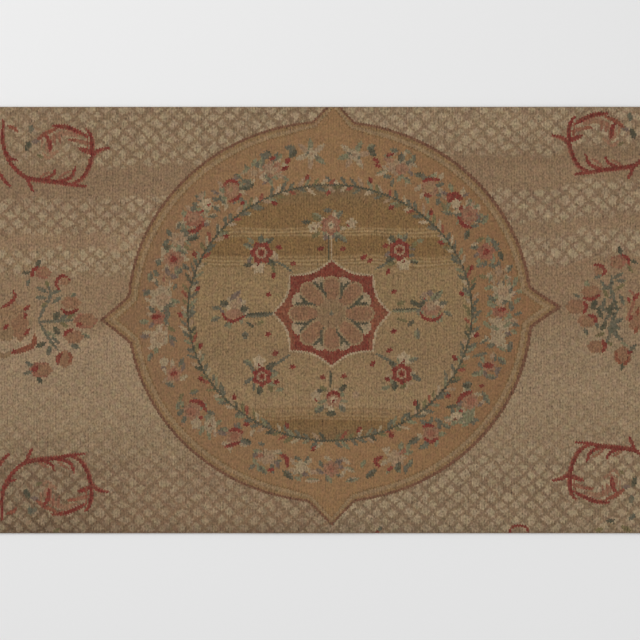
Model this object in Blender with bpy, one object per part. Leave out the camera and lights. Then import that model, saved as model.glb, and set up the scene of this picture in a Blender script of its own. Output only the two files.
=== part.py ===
"""A cut length of aubusson rug: one flat cloth of tapestry-woven wool, lying on a floor.

Metres, +Z up. X runs across the ribs of the weave and Y runs along them.
The origin is on the floor, under the middle of the cloth.
"""

from collections import namedtuple
from math import cos, radians, sin

import bmesh
import bpy
from mathutils import Matrix

# The cloth's real size. A rib is one warp with the wool weft packed round it.
RIB_PITCH = 0.002025
RIBS = 480
WIDTH = RIBS * RIB_PITCH
LENGTH = 0.640
THICKNESS = 0.0036

# The cut edge is soft, so its middle stands out past its top and bottom.
EDGE_ROUND = 0.0008

# The cloth's faces are about this long each way.
CELL = 0.020

# Old tapestry weave cockles a little. Each ripple is a low oval swell under which the cloth
# leaves the floor: its middle, the turn of its length from +X in degrees, its spans and rise.
Ripple = namedtuple("Ripple", "x y turn length breadth rise")
RIPPLES = (
    Ripple(x=-0.330, y=0.170, turn=28, length=0.42, breadth=0.13, rise=0.0016),
    Ripple(x=-0.430, y=-0.110, turn=84, length=0.32, breadth=0.12, rise=0.0014),
    Ripple(x=-0.190, y=-0.215, turn=-35, length=0.38, breadth=0.11, rise=0.0012),
    Ripple(x=0.010, y=-0.290, turn=4, length=0.36, breadth=0.10, rise=0.0014),
    Ripple(x=0.050, y=0.265, turn=-6, length=0.40, breadth=0.10, rise=0.0010),
    Ripple(x=0.250, y=0.040, turn=80, length=0.42, breadth=0.11, rise=0.0012),
    Ripple(x=0.330, y=0.275, turn=14, length=0.38, breadth=0.12, rise=0.0015),
    Ripple(x=0.390, y=-0.200, turn=-48, length=0.38, breadth=0.13, rise=0.0018),
)

# The wool of the ground: a soft tan, dull all over.
GROUND_COLOUR = (0.247, 0.153, 0.088, 1.0)
GROUND_ROUGHNESS = 0.95


def remove_objects():
    """Starts from an empty scene."""
    for thing in list(bpy.data.objects):
        bpy.data.objects.remove(thing)


def wool(name, colour, roughness):
    """A dull, unpolished wool."""
    material = bpy.data.materials.new(name)
    material.use_nodes = True
    shader = material.node_tree.nodes["Principled BSDF"]
    shader.inputs["Base Color"].default_value = colour
    shader.inputs["Roughness"].default_value = roughness
    shader.inputs["Metallic"].default_value = 0.0
    return material


def swell(ripple, x, y):
    """How far one ripple lifts the cloth: most in its middle, and nothing past its rim."""
    turn = radians(ripple.turn)
    along = (x - ripple.x) * cos(turn) + (y - ripple.y) * sin(turn)
    across = (y - ripple.y) * cos(turn) - (x - ripple.x) * sin(turn)
    reach = (2 * along / ripple.length) ** 2 + (2 * across / ripple.breadth) ** 2
    return ripple.rise * max(0.0, 1 - reach) ** 2


def lift(x, y):
    """How far the cloth's underside is off the floor. Where ripples meet, the higher one wins."""
    return max(swell(ripple, x, y) for ripple in RIPPLES)


def flat_cloth():
    """A flat grid of faces of the cloth's width and length, drawn in by the edge's rounding."""
    cloth = bmesh.new()
    bmesh.ops.create_grid(
        cloth,
        x_segments=round(WIDTH / CELL),
        y_segments=round(LENGTH / CELL),
        size=0.5,
        matrix=Matrix.Diagonal((WIDTH - 2 * EDGE_ROUND, LENGTH - 2 * EDGE_ROUND, 1, 1)),
    )
    return cloth


def thicken(cloth):
    """Raises a copy of the grid by the cloth's thickness, which leaves the grid as its underside."""
    underside = list(cloth.faces)
    raised = bmesh.ops.extrude_face_region(cloth, geom=underside, use_keep_orig=True)["geom"]
    top = [part for part in raised if isinstance(part, bmesh.types.BMVert)]
    bmesh.ops.translate(cloth, verts=top, vec=(0, 0, THICKNESS))
    bmesh.ops.reverse_faces(cloth, faces=underside)


def round_edge(cloth):
    """Splits the edge's wall at half its height and brings that line out to the full size."""
    upright = [
        edge
        for edge in cloth.edges
        if abs(edge.verts[0].co.z - edge.verts[1].co.z) > THICKNESS / 2
    ]
    split = bmesh.ops.subdivide_edges(cloth, edges=upright, cuts=1)["geom_inner"]
    middle = [part for part in split if isinstance(part, bmesh.types.BMVert)]
    full = Matrix.Diagonal(
        (WIDTH / (WIDTH - 2 * EDGE_ROUND), LENGTH / (LENGTH - 2 * EDGE_ROUND), 1, 1)
    )
    bmesh.ops.transform(cloth, matrix=full, verts=middle)


def cockle(cloth):
    """Lays the cloth over its ripples. Its thickness stays the same."""
    for point in cloth.verts:
        point.co.z += lift(point.co.x, point.co.y)


def make_rug():
    """The rug's one piece, a sheet of even thickness."""
    cloth = flat_cloth()
    thicken(cloth)
    round_edge(cloth)
    cockle(cloth)
    bmesh.ops.recalc_face_normals(cloth, faces=cloth.faces)
    mesh = bpy.data.meshes.new("rug_cloth")
    cloth.to_mesh(mesh)
    cloth.free()
    mesh.shade_smooth()
    mesh.set_sharp_from_angle(angle=radians(40))
    mesh.materials.append(wool("ground_wool", GROUND_COLOUR, GROUND_ROUGHNESS))
    rug = bpy.data.objects.new("rug_cloth", mesh)
    bpy.context.scene.collection.objects.link(rug)
    return rug


remove_objects()
make_rug()
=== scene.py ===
# %% [markdown]
# # An aubusson rug, woven rib by rib
#
# The object is a cut length of a flat tapestry-woven wool rug. Its wool wefts are packed over warps that
# run from the bottom to the top of the picture, so the cloth is made of narrow upright ribs. A weaver
# changes yarn along a rib wherever the pattern asks for it, and every curve becomes a row of small steps.
# We build it the same way. First a chart says which yarn each rib carries at each height, then each
# stretch of one yarn becomes faces of the mesh, and last a material gives the yarns their fibres.
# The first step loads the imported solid, which holds the rug's true size and place.

# %% Load the frame
from collections import namedtuple
from math import cos, pi, radians, sin

import bpy
import numpy as np
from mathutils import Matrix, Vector
from mathutils.bvhtree import BVHTree


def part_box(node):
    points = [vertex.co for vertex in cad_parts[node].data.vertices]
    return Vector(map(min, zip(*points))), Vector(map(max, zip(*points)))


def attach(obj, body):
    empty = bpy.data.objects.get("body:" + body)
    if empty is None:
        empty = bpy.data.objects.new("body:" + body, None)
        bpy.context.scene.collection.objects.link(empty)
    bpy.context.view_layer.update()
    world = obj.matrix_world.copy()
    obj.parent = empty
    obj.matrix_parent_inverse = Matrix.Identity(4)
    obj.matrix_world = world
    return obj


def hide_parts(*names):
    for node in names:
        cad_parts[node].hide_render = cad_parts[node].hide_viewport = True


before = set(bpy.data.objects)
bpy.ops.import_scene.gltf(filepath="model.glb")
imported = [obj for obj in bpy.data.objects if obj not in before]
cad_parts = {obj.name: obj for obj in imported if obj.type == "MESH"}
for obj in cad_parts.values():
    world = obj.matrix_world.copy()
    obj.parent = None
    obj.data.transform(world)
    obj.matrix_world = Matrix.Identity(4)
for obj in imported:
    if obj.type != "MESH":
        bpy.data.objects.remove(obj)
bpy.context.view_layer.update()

# %% [markdown]
# ## The sizes
#
# The solid gives the width, the length and the rise of the ripples. The weave's own sizes come from the
# photograph: a rib is one warp wide, and one of its pixels is a millimetre and a half of cloth. Places in
# the pattern are written in the photograph's pixels, because that is how they are looked up, and sizes
# are written in millimetres, because that is how a weaver would measure them.

# %% Name the sizes
MM = 0.001
lowest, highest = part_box("rug_cloth")
WIDTH = highest[0] - lowest[0]
LENGTH = highest[1] - lowest[1]
THICKNESS = 3.6 * MM
EDGE_ROUND = 0.8 * MM
RIBS = 480
RIB_PITCH = (WIDTH - 2 * EDGE_ROUND) / RIBS
PASSES = 800
PASS = (LENGTH - 2 * EDGE_ROUND) / PASSES
PIXEL = 1.5 * MM
MIDDLE_PX, MIDDLE_PY = 320.0, 320.25

print(f"{RIBS} ribs of {RIB_PITCH / MM:.3f} mm and {PASSES} weft passes of {PASS / MM:.2f} mm")

# %% [markdown]
# ## The camera and the light
#
# The photograph looks straight down on the cloth, and the cloth fills it from side to side. A long lens
# high above the floor keeps the picture free of perspective. The floor is pale and plain. The light is
# soft and nearly even, as over a copy stand, with a little more from the top left so that ribs and
# ripples still show.

# %% Set up the camera
FIELD = 0.960
LENS = 85.0
SENSOR = 36.0
camera_data = bpy.data.cameras.new("camera")
camera_data.lens = LENS
camera_data.sensor_width = SENSOR
camera = bpy.data.objects.new("camera", camera_data)
bpy.context.scene.collection.objects.link(camera)
camera.location = (0, 0, THICKNESS + FIELD * LENS / SENSOR)
bpy.context.scene.camera = camera
print(f"the camera is {camera.location.z:.2f} m up")

# %% Lay the floor and hang the lamps
FLOOR_GREY = 0.80


def deselect():
    """Leaves nothing selected, because an operator acts on all that is."""
    bpy.ops.object.select_all(action="DESELECT")


deselect()
bpy.ops.mesh.primitive_plane_add(size=8, location=(0, 0, -0.0005))
floor = bpy.context.object
floor.name = "floor"
floor_paint = bpy.data.materials.new("floor_paint")
floor_paint.use_nodes = True
floor_shader = floor_paint.node_tree.nodes["Principled BSDF"]
floor_shader.inputs["Base Color"].default_value = (FLOOR_GREY, FLOOR_GREY, FLOOR_GREY, 1)
floor_shader.inputs["Roughness"].default_value = 0.9
floor.data.materials.append(floor_paint)

Lamp = namedtuple("Lamp", "name place size power")
LAMPS = (
    Lamp("key", (-2.2, 1.8, 3.2), 2.4, 105),
    Lamp("fill", (2.4, -1.2, 3.2), 3.0, 53),
)
for lamp in LAMPS:
    light = bpy.data.lights.new(lamp.name, "AREA")
    light.size = lamp.size
    light.energy = lamp.power
    holder = bpy.data.objects.new(lamp.name, light)
    bpy.context.scene.collection.objects.link(holder)
    holder.location = lamp.place
    holder.rotation_euler = (-Vector(lamp.place)).to_track_quat("-Z", "Y").to_euler()

world = bpy.data.worlds.new("studio")
bpy.context.scene.world = world
world.use_nodes = True
world.node_tree.nodes["Background"].inputs["Color"].default_value = (1, 1, 1, 1)
world.node_tree.nodes["Background"].inputs["Strength"].default_value = 0.392
bpy.context.scene.view_settings.view_transform = "Standard"
print("lamps:", [lamp.name for lamp in LAMPS])

# %% [markdown]
# ## The yarns
#
# Each yarn is named for its colour, and the three numbers are that colour as a screen shows it, from 0 to
# 255. Blender's shaders work in linear light, so a small function turns them round. Two names stand for
# the two grounds, the open field and the ground inside the vine. Their dye lots change with the height
# and their lattice is a small repeat, so the material works those two out, and the number here is only
# their mean.

# %% Wind the yarns
YARNS = {
    "field": (131, 108, 85),
    "inner": (128, 105, 77),
    "ring": (131, 99, 69),
    "band": (131, 107, 80),
    "goldline": (115, 87, 57),
    "goldband": (123, 96, 66),
    "umber": (101, 68, 51),
    "madder": (107, 49, 38),
    "russet": (114, 65, 47),
    "petal": (123, 90, 67),
    "oxblood": (98, 36, 29),
    "red": (109, 46, 38),
    "brick": (118, 66, 50),
    "rose": (124, 82, 64),
    "pink": (129, 95, 74),
    "blush": (134, 110, 87),
    "cream": (150, 130, 105),
    "pale": (140, 121, 97),
    "tan": (130, 102, 76),
    "sand": (120, 96, 71),
    "moss": (98, 88, 60),
    "sage": (108, 103, 80),
    "spruce": (70, 67, 53),
    "slate": (87, 83, 69),
    "mauve": (100, 84, 74),
}
NUMBER = {name: number for number, name in enumerate(YARNS)}


def linear(colour):
    """A screen colour from 0 to 255 as linear light from 0 to 1."""
    shown = np.array(colour, float) / 255
    return np.where(shown <= 0.04045, shown / 12.92, ((shown + 0.055) / 1.055) ** 2.4)


print(len(YARNS), "yarns")

# %% [markdown]
# ## The weaver's chart
#
# The chart is a table with a column for each rib and a row for each weft pass, and it holds a yarn's
# number in each cell. A motif is drawn into the small patch of cells round it, as a shape worked out from
# its own sizes. On every second rib the shapes sit a little higher. That is what gives a tapestry its
# comb-like edges, because the weaver turns one weft a pass sooner than the next.

# %% Rule the chart
COMB = 1.3 * MM
chart = np.full((PASSES, RIBS), NUMBER["field"])
rib_x = (np.arange(RIBS) + 0.5 - RIBS / 2) * RIB_PITCH
pass_y = (np.arange(PASSES) + 0.5 - PASSES / 2) * PASS
comb = np.where(np.arange(RIBS) % 2, COMB, -COMB) / 2


def place(px, py):
    """A place in the photograph, in metres from the middle of the cloth."""
    return (px - MIDDLE_PX) * PIXEL, (MIDDLE_PY - py) * PIXEL


def patch(px, py, reach, turn=0.0, teeth=1.0):
    """The chart's cells near a place, and in mm how far each lies along a direction and across it."""
    x, y = place(px, py)
    ribs = slice(*np.searchsorted(rib_x, (x - reach * MM, x + reach * MM)))
    passes = slice(*np.searchsorted(pass_y, (y - reach * MM, y + reach * MM)))
    right = (rib_x[ribs] - x) / MM
    up = (pass_y[passes, None] - y + teeth * comb[ribs]) / MM
    way = radians(turn)
    return chart[passes, ribs], right * cos(way) + up * sin(way), up * cos(way) - right * sin(way)


print("the chart has", chart.size, "cells")

# %% [markdown]
# ## Brushes
#
# A handful of brushes draws the whole pattern: a stroke along a smooth curve, a two-toned leaf, a round
# flower with a lobed edge, and an arc for the shaded side of a rose. Each brush only needs a place, its
# sizes and its yarns, so a spray of flowers becomes a short table.

# %% Make the brush for lines
def smooth(points, step=0.45):
    """Close places, in pixels, along a smooth curve through a few of them."""
    first, second, before_last, last = (np.array(points[at], float) for at in (0, 1, -2, -1))
    knots = [2 * first - second, *np.array(points, float), 2 * last - before_last]
    row = []
    for before, start, end, after in zip(knots, knots[1:], knots[2:], knots[3:]):
        for part in np.arange(0, 1, step / max(step, np.hypot(*(end - start)))):
            straight = start * 2 + (end - before) * part
            bend = (before * 2 - start * 5 + end * 4 - after) * part**2
            row.append((straight + bend + (start * 3 - before - end * 3 + after) * part**3) / 2)
    return row + [last]


def stroke(points, wide, yarn, taper=0.6):
    """A line of yarn along a smooth curve, so many mm wide and drawn out thinner at its ends."""
    row = smooth(points)
    for part, (px, py) in zip(np.linspace(-1, 1, len(row)), row):
        radius = wide / 2 * (1 - taper * abs(part) ** 3)
        cells, along, across = patch(px, py, radius + 1)
        cells[along**2 + across**2 < radius**2] = NUMBER[yarn]


# %% Make the brushes for leaves and flowers
def leaf(px, py, long, wide, turn, yarn, light=None):
    """A pointed leaf. Its far side may be a lighter yarn."""
    cells, along, across = patch(px, py, long / 2 + 1, turn)
    edge = wide / 2 * (1 - np.abs(2 * along / long) ** 2.3)
    cells[np.abs(across) < edge] = NUMBER[yarn]
    if light:
        cells[(np.abs(across) < edge) & (across > 0.1 * wide)] = NUMBER[light]


def bloom(px, py, size, yarn, lobes=5, turn=90.0, depth=0.22, flat=1.0):
    """A round flower head with a lobed edge. flat squeezes it across its direction."""
    cells, along, across = patch(px, py, size / 2 + 1, turn)
    across = across / flat
    lobe = np.cos(lobes * np.arctan2(across, along) / 2) ** 2
    cells[np.hypot(along, across) < size / 2 * (1 - depth + depth * lobe)] = NUMBER[yarn]


def arc(px, py, radius, wide, turn, spread, yarn):
    """A crescent: part of a ring that thins out towards both ends, spread degrees each way."""
    cells, along, across = patch(px, py, radius + wide, turn)
    part = np.abs(np.degrees(np.arctan2(across, along))) / spread
    half = wide / 2 * np.sqrt(np.clip(1 - part**2, 0, 1))
    cells[(part < 1) & (np.abs(np.hypot(along, across) - radius) < half)] = NUMBER[yarn]


# %% [markdown]
# ## The medallion
#
# The medallion is an ellipse that is drawn out into a small pointed tip at the top, the bottom and each
# side. Such a tip is an ogee: it leaves the ellipse gently and then runs straight to its point. Inside
# its dark outline lie a pale band, a thin gold line and the orange ring that carries the wreath. A second
# ellipse, inside a vine, holds the inner ground. Both are drawn as filled shapes first, and the lines
# follow the same formula, so they can't part from the fill.

# %% Shape the medallion
Ellipse = namedtuple("Ellipse", "px py half_wide half_high")
Tip = namedtuple("Tip", "way long half_base at")
MEDALLION = Ellipse(329.7, 312.0, 302.0, 285.0)
VINE = Ellipse(330.0, 313.0, 213.0, 192.0)
TIPS = (
    Tip("right", 43.0, 31.0, (0.0, 7.0)),
    Tip("top", 33.0, 32.0, (6.0, 0.0)),
    Tip("left", 40.5, 36.0, (0.0, -12.0)),
    Tip("bottom", 34.0, 36.0, (2.7, 0.0)),
)


def rise(off, tip):
    """How far a tip stands out of the ellipse, so many mm to the side of its own middle."""
    return tip.long * np.clip(1 - np.abs(off) / tip.half_base, 0, 1) ** 1.15


def drawn_out(right, up, sign=-1):
    """Takes the tips off a place, in mm from the medallion's middle, or with sign 1 adds them."""
    east, north, west, south = TIPS
    right_on = right + sign * (right > 0) * rise(up - east.at[1], east)
    right_on = right_on - sign * (right < 0) * rise(up - west.at[1], west)
    up_on = up + sign * (up > 0) * rise(right - north.at[0], north)
    up_on = up_on - sign * (up < 0) * rise(right - south.at[0], south)
    return right_on, up_on


def outline(shape, tips, step=0.3):
    """Close places, in pixels, round a whole ellipse."""
    angle = np.radians(np.arange(0, 360, step))
    right, up = shape.half_wide * np.cos(angle), shape.half_high * np.sin(angle)
    if tips:
        right, up = drawn_out(right, up, 1)
    return shape.px + right * MM / PIXEL, shape.py - up * MM / PIXEL


def from_middle(shape):
    """How far every cell of the chart lies right of and above a shape's middle, in mm."""
    x, y = place(shape.px, shape.py)
    return (rib_x[None, :] - x) / MM, (pass_y[:, None] - y + comb) / MM


def within(shape, right, up):
    """Which cells an ellipse holds."""
    return (right / shape.half_wide) ** 2 + (up / shape.half_high) ** 2 < 1


right, up = from_middle(MEDALLION)
inside_medallion = within(MEDALLION, *drawn_out(right, up))
chart[inside_medallion] = NUMBER["ring"]
print("the medallion covers", round(inside_medallion.mean(), 3), "of the cloth")

# %% Draw the medallion's lines
RIM_LINES = (("goldline", 29.6), ("band", 25.4), ("goldband", 13.0))
TIP_HALF = (12, 44)
NARROWEST = 0.55
OUTLINE_PX = (180, 330, 480)
OUTLINE_WIDE = (4.3, 3.6, 5.1)


def rim(columns, rows, wide, yarn, teeth, mask=None):
    """A line through close places, of one width or a width for each, kept inside a mask if there is one."""
    for px, py, wide in np.broadcast(columns, rows, wide):
        cells, along, across = patch(px, py, wide / 2 + 1, teeth=teeth)
        near = along**2 + across**2 < (wide / 2) ** 2
        if mask is not None:
            x, y = place(px, py)
            reach = (wide / 2 + 1) * MM
            ribs = slice(*np.searchsorted(rib_x, (x - reach, x + reach)))
            passes = slice(*np.searchsorted(pass_y, (y - reach, y + reach)))
            near = near & mask[passes, ribs]
        cells[near] = NUMBER[yarn]


columns, rows = outline(MEDALLION, tips=True)
narrower = np.interp(np.abs(columns - MEDALLION.px), TIP_HALF, (NARROWEST, 1.0))
for yarn, wide in RIM_LINES:
    rim(columns, rows, wide * narrower, yarn, 1.0, inside_medallion)
rim(columns, rows, np.interp(columns, OUTLINE_PX, OUTLINE_WIDE), "umber", 0.8)
print("the rim's lines follow", len(columns), "places")

# %% Lay the inner ground
chart[within(VINE, *from_middle(VINE))] = NUMBER["inner"]

# %% [markdown]
# ## The star and its rosette
#
# The red star has eight points joined by hollow curves, inside a cream line. A star like this is easy to
# write down in angles: straight lines from point to point, each sagging a little towards the middle. Over
# it lies a rosette of eight long petals, pink in a tan rim, with small cream petals in the gaps.

# %% Weave the star
STAR = Ellipse(331.6, 313.3, 86.4, 78.6)
STAR_SAG = 0.095
STAR_LINE = 0.042
RUSSET_FROM = 0.7
right, up = from_middle(STAR)
right, up = right / STAR.half_wide, up / STAR.half_high
angle = np.degrees(np.arctan2(up, right)) % 90
part = np.minimum(angle, 90 - angle) / 45
edge = cos(pi / 8) / np.cos(pi / 4 * part - pi / 8) - STAR_SAG * (1 - (2 * part - 1) ** 2)
reach = np.hypot(right, up)
chart[reach < edge + STAR_LINE] = NUMBER["cream"]
chart[reach < edge] = NUMBER["madder"]
chart[(reach < edge) & (np.abs(right) > RUSSET_FROM + 0.1 * up)] = NUMBER["russet"]
print("the star is", 2 * STAR.half_wide, "mm across")

# %% Weave the rosette
ROSETTE = (331.5, 313.8)
PETALS = 8
SMALL_PETAL_WIDE = 21
SHADE_WIDE, RIM_WIDE, PETAL_WIDE = 34, 25.5, 20.5
HEART_SIZE, EYE_SIZE = 44, 7.5


def petal(px, py, turn, start, end, wide, yarn):
    """A petal that points away from a flower's middle, blunt outside and narrow inside."""
    cells, along, across = patch(px, py, end + 1, turn)
    part = np.clip((along - start) / (end - start), 0, 1)
    half = wide / 2 * np.clip(3.3 * part * (1 - part) ** 0.55, 0, 1)
    cells[(along > start) & (along < end) & (np.abs(across) < half)] = NUMBER[yarn]


for number in range(PETALS):
    turn = 360 / PETALS * (number + 0.5)
    end = 55 + 9 * abs(cos(radians(turn)))
    petal(*ROSETTE, turn, 32, end, SMALL_PETAL_WIDE, "pale")
for number in range(PETALS):
    turn = 360 / PETALS * number
    end = 57 + 8 * abs(cos(radians(turn)))
    petal(*ROSETTE, turn, 10, end - 5, SHADE_WIDE, "spruce")
    petal(*ROSETTE, turn, 4, end, RIM_WIDE, "band")
    petal(*ROSETTE, turn, 14, end - 3.4, PETAL_WIDE, "petal")
bloom(*ROSETTE, HEART_SIZE, "sand", lobes=8, depth=0.1)
bloom(*ROSETTE, EYE_SIZE, "slate", lobes=4)

# %% [markdown]
# ## Leaves, buds and flowers
#
# The sprays are made of a few parts that come again and again: stems, pointed leaves, red buds, roses
# with a ring inside, and pale blossoms with a dark dot or between crossed leaves. A worn rose is a pink
# bloom in a darker one, with a red stroke on its shaded side. Each part is a named row with its place and
# size, so a spray reads as a list of what the weaver put in, and one small function weaves any such list.

# %% Name the parts of a spray
Stem = namedtuple("Stem", "points wide yarn")
Leaf = namedtuple("Leaf", "px py long wide turn yarn light", defaults=(None,))
Bloom = namedtuple("Bloom", "px py size yarn lobes turn depth flat", defaults=(5, 90.0, 0.22, 1.0))
Arc = namedtuple("Arc", "px py radius wide turn spread yarn")
Bud = namedtuple("Bud", "px py turn", defaults=(20,))
Rose = namedtuple("Rose", "px py size turn", defaults=(90,))
Blossom = namedtuple("Blossom", "px py size yarn dot_px dot_py dot")
Crossed = namedtuple("Crossed", "px py turn")


def bud(px, py, turn):
    """A small red bud."""
    leaf(px, py, 10.5, 6.5, turn, "red", "oxblood")


def rose(px, py, size, turn):
    """A red rose with a tan ring and a dark eye."""
    bloom(px, py, 1.06 * size, "red", 6, turn, 0.2)
    bloom(px, py, 0.54 * size, "blush", 6, turn, 0.1)
    bloom(px, py, 0.36 * size, "brick", 5, turn, 0.1)
    bloom(px, py, 0.22 * size, "oxblood", 3, turn, 0.1)


def blossom(px, py, size, yarn, dot_px, dot_py, dot):
    """A pale blossom of five petals with a dot of a darker yarn."""
    bloom(px, py, size, yarn, 5, 90, 0.3)
    bloom(dot_px, dot_py, 4.4, dot, 3)


CROSSED_LEAVES = ((40, "pale"), (140, "blush"), (200, "pale"), (322, "sage"), (95, "sage"), (265, "blush"))


def crossed(px, py, turn):
    """A pale blossom between six crossed leaves."""
    for way, yarn in CROSSED_LEAVES:
        way = way + turn
        leaf(px + 9.5 * cos(radians(way)), py - 8 * sin(radians(way)), 24, 8.5, way, yarn)
    bloom(px, py, 19, "pale", 4, turn, 0.3)
    leaf(px - 4, py - 1, 9, 3.5, turn + 50, "slate")
    leaf(px + 5, py + 3, 9, 3.5, turn - 40, "slate")
    bloom(px, py, 6, "blush", 3, turn)


BRUSHES = {
    Stem: stroke, Leaf: leaf, Bloom: bloom, Arc: arc, Bud: bud,
    Rose: rose, Blossom: blossom, Crossed: crossed,
}


def weave(*parts):
    """Weaves the parts of a spray, the first ones lowest."""
    for part in parts:
        BRUSHES[type(part)](*part)


print(len(BRUSHES), "kinds of parts")

# %% [markdown]
# ## The vine
#
# A thin green vine runs round the inner ground. It is one line with small slanting leaves on both sides,
# so a loop sets them along the same ellipse as the ground's edge. All of them grow upwards on both sides,
# the upper ones are paler, and a seeded draw of random numbers makes no two gaps or leaves quite alike.

# %% Twine the vine
VINE_LEAVES = 236
VINE_SLANT = 40
VINE_LINE = 3.5
VINE_LEAF_LONG = (12, 19)
VINE_LEAF_WIDE = (4.2, 6.2)
OFF_THE_VINE = 0.6
BUD_EVERY = 9
VINE_YARNS = (
    "moss", "slate", "pale", "slate", "sage", "blush", "slate",
    "spruce", "pale", "moss", "slate", "brick", "sage",
)
UPPER_FROM = 0.45
UPPER_YARNS = ("pale", "slate", "moss", "cream", "sage", "slate", "blush", "brick", "slate")
rng = np.random.default_rng(7)
columns, rows = outline(VINE, tips=False)
rim(columns, rows, VINE_LINE, "spruce", 1.2)
for number in range(VINE_LEAVES):
    side = 1 if number % 2 else -1
    around = 360 / VINE_LEAVES * (number - number % 2 + rng.uniform(-0.6, 0.6))
    climbs = 1 if cos(radians(around)) > 0 else -1
    turn = around + climbs * (90 - side * VINE_SLANT) + rng.uniform(-12, 12)
    long = rng.uniform(*VINE_LEAF_LONG)
    off = OFF_THE_VINE * long
    px = VINE.px + (VINE.half_wide * cos(radians(around)) + off * cos(radians(turn))) * MM / PIXEL
    py = VINE.py - (VINE.half_high * sin(radians(around)) + off * sin(radians(turn))) * MM / PIXEL
    yarns = UPPER_YARNS if sin(radians(around)) > UPPER_FROM else VINE_YARNS
    leaf(px, py, long, rng.uniform(*VINE_LEAF_WIDE), turn, yarns[number % len(yarns)])
    if number % BUD_EVERY == BUD_EVERY // 2:
        bud(px + 4 * side * cos(radians(around)), py - 4 * side * sin(radians(around)), turn)
print(VINE_LEAVES, "leaves on the vine")

# %% [markdown]
# ## The eight sprigs
#
# Eight small sprigs grow from the star's points towards the vine. They are meant to be alike, yet each
# weaver and each bobbin made its own, so every sprig has its own list. Faint small leaves fill the gaps
# round the larger flowers here and in the wreath. A seeded draw strews those, because no two are placed
# alike and none of them matters by itself.

# %% Strew small leaves round the flowers
LEAVES_ROUND = 8
LARGE_FLOWER = 19
STREWN_AWAY = (0.50, 0.68)
STREWN_LONG = (11, 18)
STREWN_WIDE = (5, 7.5)
STREWN_YARNS = ("sage", "slate", "pale", "sage", "blush", "slate", "mauve", "pale")


def garland(*parts):
    """Weaves a spray over faint small leaves strewn round its larger flowers."""
    flowers = [part for part in parts if isinstance(part, (Bloom, Rose)) and part.size >= LARGE_FLOWER]
    for flower in flowers:
        for number in range(LEAVES_ROUND):
            way = 360 / LEAVES_ROUND * number + rng.uniform(-25, 25)
            away = rng.uniform(*STREWN_AWAY) * flower.size * MM / PIXEL
            px = flower.px + away * cos(radians(way))
            py = flower.py - away * sin(radians(way))
            yarn = STREWN_YARNS[rng.integers(len(STREWN_YARNS))]
            long, wide = rng.uniform(*STREWN_LONG), rng.uniform(*STREWN_WIDE)
            leaf(px, py, long, wide, way + rng.uniform(-50, 50), yarn)
    weave(*parts)


print("leaves in", len(STREWN_YARNS), "turns of yarn")

# %% Weave the sprigs above the star
garland(
    Stem(((328.6, 236), (328.6, 260)), 3.2, "spruce"), Stem(((331.8, 236), (331.8, 261)), 2.8, "cream"),
    Leaf(306.2, 222.3, 14.5, 6.5, 0, "spruce"), Leaf(317, 217.4, 19.5, 11.5, -35, "moss", "sage"),
    Leaf(327.5, 210.5, 14.5, 6.5, 0, "slate"), Leaf(339.5, 214, 15.5, 8, 40, "slate", "sage"),
    Leaf(316, 235, 18, 6.5, 35, "moss"), Leaf(325.5, 237.5, 10.5, 6.5, 80, "mauve"),
    Leaf(342.4, 238.6, 19.5, 8, -35, "slate", "sage"), Bud(320.6, 249), Bud(343, 249), Bud(370, 261),
    Leaf(363.6, 257.6, 13, 6.5, 35, "red"), Blossom(313.7, 227.7, 18, "cream", 313.7, 228.5, "umber"),
    Blossom(351.6, 223.7, 18, "pale", 348, 225.7, "red"), Bloom(331, 225.4, 31, "rose", 6),
    Bloom(331, 225.4, 23, "pink", 6), Bloom(331, 225.4, 11, "cream", 4), Bloom(331, 225.4, 4, "slate"),
)
garland(
    Stem(((395, 258.6), (386, 264), (376, 269)), 4.4, "slate"), Leaf(390, 259, 18, 9, 40, "spruce"),
    Leaf(391, 264, 15.5, 6.5, 10, "moss"), Leaf(392.3, 238.8, 14.5, 8, 120, "spruce"),
    Leaf(405, 237.6, 15.5, 6.5, 60, "slate", "sage"), Leaf(414, 245, 15.5, 6.5, 50, "moss"),
    Leaf(420, 241, 11.5, 6.5, 10, "sage"), Leaf(413.8, 261.7, 17, 6.5, -10, "spruce", "sage"),
    Blossom(404, 264.5, 21, "cream", 404, 262, "oxblood"), Rose(399.5, 250.2, 32), Bud(385.6, 246),
    Bud(388, 272, 60), Bud(394.4, 291.7),
)
garland(
    Stem(((276, 262), (284, 266), (292.3, 272.4)), 4.0, "slate"),
    Leaf(270.5, 262.5, 21, 9, -30, "spruce"), Leaf(273, 268, 15.5, 5, -70, "moss"),
    Leaf(261, 239.4, 14.5, 8, 80, "slate"), Leaf(251, 241, 13, 6.5, 140, "sage"),
    Leaf(270, 241, 15.5, 6.5, 40, "spruce"), Leaf(248, 246, 15.5, 8, 160, "slate", "sage"),
    Leaf(248.6, 265.2, 17, 6.5, 5, "spruce"), Leaf(279, 247.6, 10.5, 6.5, -20, "red"),
    Blossom(258.3, 267.5, 21, "cream", 258.3, 265, "oxblood"), Rose(261.4, 253, 33, 60),
    Bud(292.9, 263.9), Bud(273.5, 275.8, 80), Bud(268.6, 294.8),
)
print("three sprigs above the star")

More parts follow.
